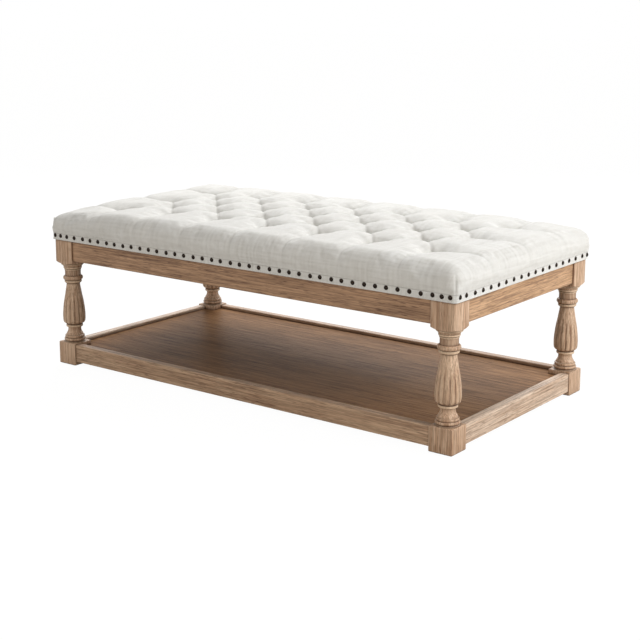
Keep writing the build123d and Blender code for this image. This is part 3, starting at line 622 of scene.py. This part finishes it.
# %% [markdown]
# The top is tufted by hand in the trade: foam lies on a board, linen goes over it, and twine pulls
# the cloth down at 33 places to the board below. The spare cloth between neighbouring pulls is
# folded into pleats, so a pillow rises in each diamond. Straight pleats run from the outer pulls
# over the shoulder. A remeshed block would blur the folds, so the cover starts as a flat grid whose
# squares fit the lattice of pulls, and every fold runs through points of the grid.

# %% A flat grid with hanging sides
PITCH, ROW = 168.0, 92.0
SQUARES = 12
HALF_X, HALF_Y, TOP, BASE, SHOULDER = 663.0, 338.0, 457.0, 360.0, 42.0
SHOULDER_SHARE, SIDE_SHARE = 0.42, 0.67
# For now, each hanging ring is 10 mm lower than the last, so that its height tells its number.
LABEL = 10.0
step_x, step_y = PITCH / 2 / SQUARES, ROW / SQUARES
columns, rows = 2 * round(HALF_X / step_x), 2 * round(HALF_Y / step_y)
shoulder_rings, side_rings = round(SHOULDER_SHARE * SQUARES), round(SIDE_SHARE * SQUARES)

bpy.ops.object.select_all(action="DESELECT")
bpy.ops.mesh.primitive_grid_add(x_subdivisions=columns, y_subdivisions=rows, size=1,
                                location=(0, 0, TOP * MM))
cushion = bpy.context.object
cushion.name = "tufted_linen_top"
bpy.ops.object.transform_apply(location=True, rotation=True, scale=True)
bpy.ops.object.mode_set(mode="EDIT")
bpy.ops.mesh.select_mode(type="EDGE")
bpy.ops.mesh.select_all(action="SELECT")
spread = (columns * step_x * MM, rows * step_y * MM, 1)
bpy.ops.transform.resize(value=spread, center_override=(0, 0, 0))
bpy.ops.mesh.region_to_loop()
hang = {"value": (0, 0, -LABEL * MM)}
for _ in range(shoulder_rings + side_rings):
    bpy.ops.mesh.extrude_region_move(TRANSFORM_OT_translate=hang)
bpy.ops.object.mode_set(mode="OBJECT")
print("grid:", len(cushion.data.polygons), "faces,", columns, "by", rows, "on top")

# %% [markdown]
# The grid is laid over the form of the foam. Its outer part turns over the shoulder and its sides
# hang straight. Seen from above, the corners are tight at the nailed band and round higher up,
# where the cloth is stuffed. The middle is crowned, and the corners are a little low.

# %% Reading and moving points
def points_of(piece):
    """The points of a mesh in mm, as three arrays."""
    found = np.empty(len(piece.data.vertices) * 3)
    piece.data.vertices.foreach_get("co", found)
    return found.reshape(-1, 3).T / MM


def put_points(piece, x, y, z):
    """Moves all points of a mesh to places in mm."""
    piece.data.vertices.foreach_set("co", (np.stack([x, y, z], 1) * MM).ravel())
    piece.data.update()


def ramp(value, start, end):
    """0 up to a start, 1 from an end on, and even between them."""
    return np.clip((value - start) / (end - start), 0, 1)


def round_corner(x, y, half_x, half_y, radius):
    """Points on a rectangle's outline, moved onto its rounded corners."""
    beyond_x, beyond_y = np.abs(x) - half_x + radius, np.abs(y) - half_y + radius
    at_corner = (beyond_x > 0) & (beyond_y > 0)
    shrink = np.where(at_corner, radius / np.maximum(np.hypot(beyond_x, beyond_y), 1e-6), 1)
    shrink = np.minimum(shrink, 1)
    new_x = np.where(at_corner, np.sign(x) * (half_x - radius + beyond_x * shrink), x)
    new_y = np.where(at_corner, np.sign(y) * (half_y - radius + beyond_y * shrink), y)
    return new_x, new_y


print("grid:", len(points_of(cushion)[0]), "points")

# %% Laying the grid over the form
x, y, z = points_of(cushion)
inner_x, inner_y = HALF_X - SHOULDER, HALF_Y - SHOULDER
near_x = ramp(np.abs(x), inner_x, columns / 2 * step_x)
near_y = ramp(np.abs(y), inner_y, rows / 2 * step_y)
near = np.maximum(np.maximum(near_x, near_y), 1e-9)
ring = np.round((TOP - z) / LABEL)
bend = np.where(ring > 0, 0.5 + 0.5 * np.minimum(ring / shoulder_rings, 1), 0.5 * near)
angle = bend * math.pi / 2
inset = SHOULDER * (1 - np.sin(angle))
side_drop = np.maximum(ring - shoulder_rings, 0) / side_rings * (TOP - SHOULDER - BASE)
z = TOP - SHOULDER * (1 - np.cos(angle)) - side_drop
length = SHOULDER * angle + side_drop
cloth_u = np.where(near_x > 0, np.sign(x) * (inner_x + near_x / near * length), x)
cloth_v = np.where(near_y > 0, np.sign(y) * (inner_y + near_y / near * length), y)
x = np.where(near_x > 0, np.sign(x) * (inner_x + near_x / near * (SHOULDER - inset)), x)
y = np.where(near_y > 0, np.sign(y) * (inner_y + near_y / near * (SHOULDER - inset)), y)
cloth_place = np.stack([cloth_u, cloth_v, np.zeros_like(z)], 1) * MM
weave_place = cushion.data.attributes.new("cloth_place", "FLOAT_VECTOR", "POINT")
weave_place.data.foreach_set("vector", cloth_place.ravel())
print("cloth:", [round(2 * float(v.max())) for v in (cloth_u, cloth_v)], "mm from edge to edge")

# %% Drawn in at the band, crowned on top
BAND_TOP, BULGE_TOP, DRAWN_IN, DRAW_CURVE = 380.0, 397.0, 6.0, 1.6
TIGHT, ROUNDER, LOOSE_ABOVE = 10.0, 24.0, 22.0
CROWN = 11.0
LOW_PLACES = ((-1, -1, 17, 0.30), (1, -1, 6, 0.25), (1, 1, 8, 0.30), (-1, 0, 6, 0.5))
BAND_X, BAND_Y = HALF_X - DRAWN_IN, HALF_Y - DRAWN_IN
drawn = ramp(z, BULGE_TOP, BAND_TOP) ** DRAW_CURVE
x *= 1 - DRAWN_IN / HALF_X * drawn
y *= 1 - DRAWN_IN / HALF_Y * drawn
radius = TIGHT + ROUNDER * ramp(z, BAND_TOP, BAND_TOP + LOOSE_ABOVE) - inset
edge = inset + DRAWN_IN * drawn
x, y = round_corner(x, y, HALF_X - edge, HALF_Y - edge, np.maximum(radius, 0.01))

share_x, share_y = x / HALF_X, y / HALF_Y
lower = CROWN * (1 - (1 - share_x ** 2) * (1 - share_y ** 2))
for at_x, at_y, drop, spread in LOW_PLACES:
    apart = (share_x - at_x) ** 2 * 4 + (share_y - at_y) ** 2
    lower += drop * np.exp(-apart / (2 * spread ** 2))
z -= lower * ramp(z, BULGE_TOP, TOP)
put_points(cushion, x, y, z)
print("form:", [round(float(v.max() - v.min()), 1) for v in (x, y, z)], "mm")

# %% [markdown]
# The pulls stand on a diamond lattice, 168 mm along and 184 mm across, five rows of seven and six.
# Each pleat is a line between two pulls, deep at its ends and shallow midway. All distances are
# measured along the cloth, so the straight pleats run down the sides without a break.

# %% Where the cloth is pulled down
OUTER_ROW, OUTER_COLUMN = 2, 6
pulls = []
for row in range(-OUTER_ROW, OUTER_ROW + 1):
    for column in range(-OUTER_COLUMN, OUTER_COLUMN + 1):
        if (row + column) % 2 == 0:
            pulls.append((column * PITCH / 2, row * ROW))
pleats = []
for x, y in pulls:
    for step in (-1, 1):
        if (x + PITCH / 2, y + step * ROW) in pulls:
            pleats.append(((x, y), (x + PITCH / 2, y + step * ROW)))
edge_pleats = [(x, y, "y") for x, y in pulls if abs(y) == OUTER_ROW * ROW]
edge_pleats += [(x, y, "x") for x, y in pulls if abs(x) == OUTER_COLUMN * PITCH / 2]
print(len(pulls), "pulls,", len(pleats), "pleats between them,", len(edge_pleats), "to the edges")

# %% Distances from the pleats
FAR, TIGHT_END = 999.0, 3.0


def near_pleat(u, v, start, end):
    """Distances from a pleat, plain and with tight ends, and the share of the way along it."""
    length = math.hypot(end[0] - start[0], end[1] - start[1])
    ux, uy = (end[0] - start[0]) / length, (end[1] - start[1]) / length
    along = (u - start[0]) * ux + (v - start[1]) * uy
    across = (v - start[1]) * ux - (u - start[0]) * uy
    beyond = np.maximum(np.maximum(-along, along - length), 0)
    tight = np.hypot(across, beyond * TIGHT_END)
    return np.hypot(across, beyond), tight, np.clip(along / length, 0, 1)


def near_edge_pleat(u, v, px, py, axis):
    """Distances across a straight pleat, and behind and out from its pull."""
    if axis == "y":
        out, across, other_side = np.abs(v) - abs(py), u - px, v * py < 0
    else:
        out, across, other_side = np.abs(u) - abs(px), v - py, u * px < 0
    out = np.where(other_side, -FAR, out)
    return across, np.minimum(out, 0), np.maximum(out, 0)


print("length of a pleat:", round(math.hypot(PITCH / 2, ROW), 1), "mm")

# %% How far each point sinks
DEEP, SHALLOW, EDGE_SHALLOW = 32.0, 4.5, 3.2
FLANK, FLANK_LOST, LOST_OVER, FADES_OVER = 60.0, 22.0, 150.0, 100.0


def rise(distance, width):
    """1 in a pleat and 0 a width away from it: the round flank of a pillow."""
    return 1 - (1 - (1 - ramp(distance, 0, width)) ** 2.3) ** 0.74


def sinking(u, v, height):
    """How far the stuffing gives way at cloth points, all pleats together."""
    left = np.ones_like(u)
    for start, end in pleats:
        _, distance, share = near_pleat(u, v, start, end)
        depth = SHALLOW + (DEEP - SHALLOW) * (1 - np.sin(math.pi * share)) ** 1.5
        left *= 1 - depth / DEEP * rise(distance, FLANK)
    for px, py, axis in edge_pleats:
        across, behind, out = near_edge_pleat(u, v, px, py, axis)
        depth = EDGE_SHALLOW + (DEEP - EDGE_SHALLOW) * (1 - ramp(out, 0, FADES_OVER)) ** 1.9
        depth *= ramp(height, BAND_TOP + 4, BAND_TOP + 64) ** 0.8
        width = FLANK - FLANK_LOST * ramp(out, 0, LOST_OVER)
        left *= 1 - depth / DEEP * rise(np.hypot(across, behind * TIGHT_END), width)
    return DEEP * (1 - left)


def push(piece, distance):
    """Moves each point of a mesh along its normal by a distance in mm."""
    normals = np.empty(len(piece.data.vertices) * 3)
    piece.data.vertex_normals.foreach_get("vector", normals)
    x, y, z = points_of(piece)
    nx, ny, nz = normals.reshape(-1, 3).T
    put_points(piece, x + nx * distance, y + ny * distance, z + nz * distance)


sink = sinking(cloth_u, cloth_v, points_of(cushion)[2])
push(cushion, -sink)
print("deepest", round(float(sink.max()), 1), "mm")

# %% [markdown]
# The stuffing presses the cloth from inside, and cloth does what no formula gives: it bags between
# the pulls and puckers beside the folds. So the cover is simulated as cloth a little larger than
# its form, held at the folds and at the nailed band, with air pressure and no gravity. No point may
# end more than 3.5 mm from where it began.

# %% Cloth under pressure
FRAMES, CAP, PRESSURE, SPARE = 14, 3.5, 4.0, 0.010
HELD_FOLD, HELD_PULL, HELD_BAND = 1.5, 9.0, 3.0


def fold_distance(u, v):
    """Distance of cloth points from the nearest fold, and from the nearest pull."""
    fold = np.full_like(u, FAR)
    for start, end in pleats:
        fold = np.minimum(fold, near_pleat(u, v, start, end)[0])
    for px, py, axis in edge_pleats:
        across, behind, _ = near_edge_pleat(u, v, px, py, axis)
        fold = np.minimum(fold, np.hypot(across, behind))
    pull = np.full_like(u, FAR)
    for px, py in pulls:
        pull = np.minimum(pull, np.hypot(u - px, v - py))
    return fold, pull


before = points_of(cushion)
fold, pull = fold_distance(cloth_u, cloth_v)
held = (fold < HELD_FOLD) | (pull < HELD_PULL) | (before[2] < BAND_TOP + HELD_BAND)
pins = cushion.vertex_groups.new(name="held")
pins.add([int(k) for k in np.flatnonzero(held)], 1.0, "REPLACE")
cloth = cushion.modifiers.new("cloth", "CLOTH")
cloth.settings.quality = 4
cloth.settings.vertex_group_mass = pins.name
cloth.settings.use_pressure = True
cloth.settings.uniform_pressure_force = PRESSURE
cloth.settings.shrink_min = -SPARE
cloth.settings.shrink_max = -SPARE
cloth.settings.effector_weights.gravity = 0.0
cloth.collision_settings.use_collision = False
cloth.point_cache.frame_end = FRAMES
for frame_number in range(1, FRAMES + 1):
    bpy.context.scene.frame_set(frame_number)
bpy.context.view_layer.objects.active = cushion
bpy.ops.object.modifier_apply(modifier=cloth.name)
bpy.context.scene.frame_set(1)
cushion.vertex_groups.clear()
change = points_of(cushion) - before
reach = np.sqrt((change ** 2).sum(0))
put_points(cushion, *(before + change * np.minimum(1, CAP / np.maximum(reach, 1e-6))))
print("cloth moves", round(float(reach.mean()), 1), "mm on average, held to", CAP)

# %% [markdown]
# The cloth is subdivided once. Then come the details that are narrower than its squares were: the
# crease of each fold, the well where the twine pulls, small puckers round the wells and along the
# nails. Each square on top is split along the fold that runs through it, so that creases stay thin.

# %% A finer cloth
finer = cushion.modifiers.new("finer", "SUBSURF")
finer.levels = finer.render_levels = 1
bpy.context.view_layer.objects.active = cushion
bpy.ops.object.modifier_apply(modifier=finer.name)
flat = np.empty(len(cushion.data.vertices) * 3)
cushion.data.attributes["cloth_place"].data.foreach_get("vector", flat)
u, v, _ = flat.reshape(-1, 3).T / MM
x, y, z = points_of(cushion)
fold, pull = fold_distance(u, v)
print("cover:", len(cushion.data.polygons), "squares")

# %% Creases, wells and puckers
TOP_FROM, WELL_FLOOR, NEAR_WELL = 418.0, 421.5, 40.0
CREASE, CREASE_ON_TOP, CREASE_WIDTH, WELL, WELL_WIDTH = 0.7, 1.0, 4.0, 8.0, 20.0
PUCKER, SPOKES, SPOKES_AT, SPOKES_WIDTH = 0.7, 9, 18.0, 10.0
RIPPLE, DRAG, NAIL_STEP = 0.5, 0.7, 31.4
TUCK, TUCK_WIDTH, TUCK_REACH = 2.2, 3.0, 45.0


def bell(distance, width):
    """1 at no distance and about a third at a width."""
    return np.exp(-(distance / width) ** 2)


above_band = ramp(z, BAND_TOP, BAND_TOP + 12)
on_top = ramp(z, TOP_FROM, TOP_FROM + 12)
crease = (CREASE + CREASE_ON_TOP * on_top) * bell(fold, CREASE_WIDTH) * above_band
well = WELL * bell(pull, WELL_WIDTH)
# Puckers stand round a pull like spokes. The ripple's waves are 120 to 270 mm long, and the drag
# of the nails lies aslant on the sides, a nail apart.
star = np.sin(SPOKES * np.arctan2(v, u) + u * 0.21 + v * 0.17)
spokes = PUCKER * bell(pull - SPOKES_AT, SPOKES_WIDTH) * star * on_top
ripple = np.sin(u * 0.043 + 1.3 * np.sin(v * 0.031)) * np.sin(v * 0.051 + 1.1 * np.sin(u * 0.023))
hanging = ramp(z, BAND_TOP, BAND_TOP + 10) * ramp(z, 420, 400)
drag = DRAG * np.sin((u + v) * 2 * math.pi / NAIL_STEP) * ramp(z, 396, 378)
# At each corner the spare cloth is tucked under into one upright fold.
from_corner = np.abs((np.abs(x) - HALF_X) - (np.abs(y) - HALF_Y)) / math.sqrt(2)
tuck = bell(from_corner, TUCK_WIDTH) * (np.abs(x) > HALF_X - TUCK_REACH) * ramp(z, 440, 400)
inwards = crease + well + spokes + RIPPLE * ripple * above_band + drag * hanging
push(cushion, -(inwards + TUCK * tuck * ramp(z, BASE, BASE + 12)))
x, y, z = points_of(cushion)
put_points(cushion, x, y, np.where(pull < NEAR_WELL, np.maximum(z, WELL_FLOOR), z))
# Painted shade in the cloth's colour: darker along the folds, in the wells and in the corner tuck.
painted_fold_shade = bell(fold, 2.6) * (0.3 + 0.5 * bell(pull, 32)) * (0.4 + 0.6 * on_top) * above_band
painted_fold_shade = np.maximum(np.maximum(painted_fold_shade, 0.9 * bell(pull, 12)), 0.45 * tuck)
shadow = cushion.data.attributes.new("fold", "FLOAT", "POINT")
shadow.data.foreach_set("value", painted_fold_shade)
print("lowest well", round(float(z[pull < 3].min()), 1), "mm, held to", WELL_FLOOR)

# %% [markdown]
# A square that a fold crosses from corner to corner is split along that fold, or its crease turns
# into a row of teeth. The folds run both ways, so the squares are split in two goes.

# %% Splitting the squares along the folds
def split(chosen, method):
    """Splits the chosen squares of the cover along one of their diagonals."""
    bpy.ops.object.mode_set(mode="EDIT")
    bpy.ops.mesh.select_mode(type="FACE")
    bpy.ops.mesh.select_all(action="DESELECT")
    bpy.ops.object.mode_set(mode="OBJECT")
    cushion.data.polygons.foreach_set("select", chosen)
    bpy.ops.object.mode_set(mode="EDIT")
    bpy.ops.mesh.quads_convert_to_tris(quad_method=method, ngon_method="BEAUTY")
    bpy.ops.object.mode_set(mode="OBJECT")


corners = np.empty(len(cushion.data.loops), dtype=np.int32)
cushion.data.loops.foreach_get("vertex_index", corners)
corners = corners.reshape(-1, 4)
cell = np.floor(u[corners].mean(1) / (PITCH / 2)) + np.floor(v[corners].mean(1) / ROW)
first, opposite = corners[:, 0], corners[:, 2]
ahead = (u[opposite] - u[first]) * (v[opposite] - v[first]) > 0
split((cell % 2 == 0) == ahead, "FIXED")
sides = np.empty(len(cushion.data.polygons), dtype=np.int32)
cushion.data.polygons.foreach_get("loop_total", sides)
split(sides == 4, "FIXED_ALTERNATE")
print("cover:", len(cushion.data.polygons), "triangles")

# %% [markdown]
# Below, the cover wraps the pine frame of the top. The rim of the cloth is drawn inwards to the
# frame, then up its outside, and closed over the foam, so the cover is a shell 3 mm thick at the
# band with the stuffing in it above.

# %% Closing the cover round the frame
CLEAR, FRAME_CORNER = 0.2, 8.0


def rim_to(half_x, half_y, radius, height):
    """Extrudes the selected rim and moves it to a rounded rectangle at a height."""
    bpy.ops.mesh.extrude_region_move(TRANSFORM_OT_translate={"value": (0, 0, 0)})
    bpy.ops.object.mode_set(mode="OBJECT")
    chosen = np.empty(len(cushion.data.vertices), dtype=bool)
    cushion.data.vertices.foreach_get("select", chosen)
    x, y, z = points_of(cushion)
    new_x, new_y = np.clip(x, -half_x, half_x), np.clip(y, -half_y, half_y)
    new_x, new_y = round_corner(new_x, new_y, half_x, half_y, radius)
    put_points(cushion, np.where(chosen, new_x, x), np.where(chosen, new_y, y),
               np.where(chosen, height, z))
    bpy.ops.object.mode_set(mode="EDIT")


low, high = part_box("foam_slab")
frame_x, frame_y = high.x / MM + CLEAR, high.y / MM + CLEAR
bpy.ops.object.mode_set(mode="EDIT")
bpy.ops.mesh.select_mode(type="EDGE")
bpy.ops.mesh.select_all(action="DESELECT")
bpy.ops.mesh.select_non_manifold()
for height in (BASE, high.z / MM):
    rim_to(frame_x, frame_y, FRAME_CORNER + CLEAR, height + CLEAR)
bpy.ops.mesh.edge_face_add()
bpy.ops.mesh.select_all(action="SELECT")
bpy.ops.mesh.normals_make_consistent(inside=False)
bpy.ops.object.mode_set(mode="OBJECT")
cushion.data.materials.clear()
cushion.data.materials.append(linen_cover)
shade(cushion, degrees=70)
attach(cushion, "root")
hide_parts("tufted_cushion")
print("cover:", [round(v / MM, 1) for v in cushion.dimensions], "mm")

# %% [markdown]
# Upholstery nails have a domed head 12 mm across with a thin rim that bites into the cloth. One is
# made from a sphere: its lower part goes, and the dome is pressed flat.

# %% One nailhead
NAIL_RADIUS, RIM_CUT, PRESSED = 6.1, 0.9, 0.68
bpy.ops.object.select_all(action="DESELECT")
bpy.ops.mesh.primitive_uv_sphere_add(segments=14, ring_count=8, radius=NAIL_RADIUS * MM,
                                     location=(0, 0, 0))
nail = bpy.context.object
nail.name = "nailhead"
bpy.ops.object.mode_set(mode="EDIT")
bpy.ops.mesh.select_all(action="SELECT")
bpy.ops.mesh.bisect(plane_co=(0, 0, RIM_CUT * MM), plane_no=(0, 0, 1), clear_inner=True,
                    use_fill=True)
bpy.ops.mesh.select_all(action="SELECT")
bpy.ops.transform.translate(value=(0, 0, -RIM_CUT * MM))
bpy.ops.transform.resize(value=(1, 1, PRESSED), center_override=(0, 0, 0))
bpy.ops.object.mode_set(mode="OBJECT")
bpy.ops.object.transform_apply(location=True, rotation=True, scale=True)
print("nailhead:", [round(v / MM, 1) for v in nail.dimensions], "mm")

# %% [markdown]
# The nails are copies, set along the band 31 to 36 mm apart and closer at the corners. Each is a
# little out of place and aslant, as from a hammer in the hand, and pressed into the band.

# %% Rows of nailheads
chance = np.random.default_rng(7)
NAIL_HEIGHT, WANDER, UNEVEN, LEAN, SUNK = 371.5, 1.6, 0.7, 0.10, 0.2


def nail_line(side, turn_to, along, places, out):
    """One side's nailheads, joined into a piece, at places along an axis."""
    heads = []
    for place in places:
        place += chance.uniform(-WANDER, WANDER)
        height = NAIL_HEIGHT + chance.uniform(-UNEVEN, UNEVEN)
        shift = (place, out, height) if along == "x" else (out, place, height)
        lean_x = Matrix.Rotation(chance.uniform(-LEAN, LEAN), 4, "X")
        lean_y = Matrix.Rotation(chance.uniform(-LEAN, LEAN), 4, "Y")
        move = Matrix.Translation(Vector(shift) * MM) @ turn_to @ (lean_x @ lean_y)
        heads.append(one_copy(nail, "head", move))
    bpy.ops.object.select_all(action="DESELECT")
    for head in heads:
        head.select_set(True)
    bpy.context.view_layer.objects.active = heads[0]
    bpy.ops.object.join()
    row = heads[0]
    row.name = "nailhead_row_" + side
    row.data.materials.clear()
    row.data.materials.append(black_bronze)
    shade(row, degrees=50)
    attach(row, "root")
    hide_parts("nailheads_" + side)
    print(row.name, len(heads), "heads")


long_places = [-642, -619] + list(np.linspace(-596, 596, 39)) + [619, 642]
short_places = [-315] + list(np.linspace(-287, 287, 17)) + [315]
nail_line("front", Matrix.Rotation(QUARTER, 4, "X"), "x", long_places, -BAND_Y + SUNK)
nail_line("back", Matrix.Rotation(-QUARTER, 4, "X"), "x", long_places, BAND_Y - SUNK)
nail_line("left", Matrix.Rotation(-QUARTER, 4, "Y"), "y", short_places, -BAND_X + SUNK)
nail_line("right", Matrix.Rotation(QUARTER, 4, "Y"), "y", short_places, BAND_X - SUNK)
bpy.data.objects.remove(nail, do_unlink=True)
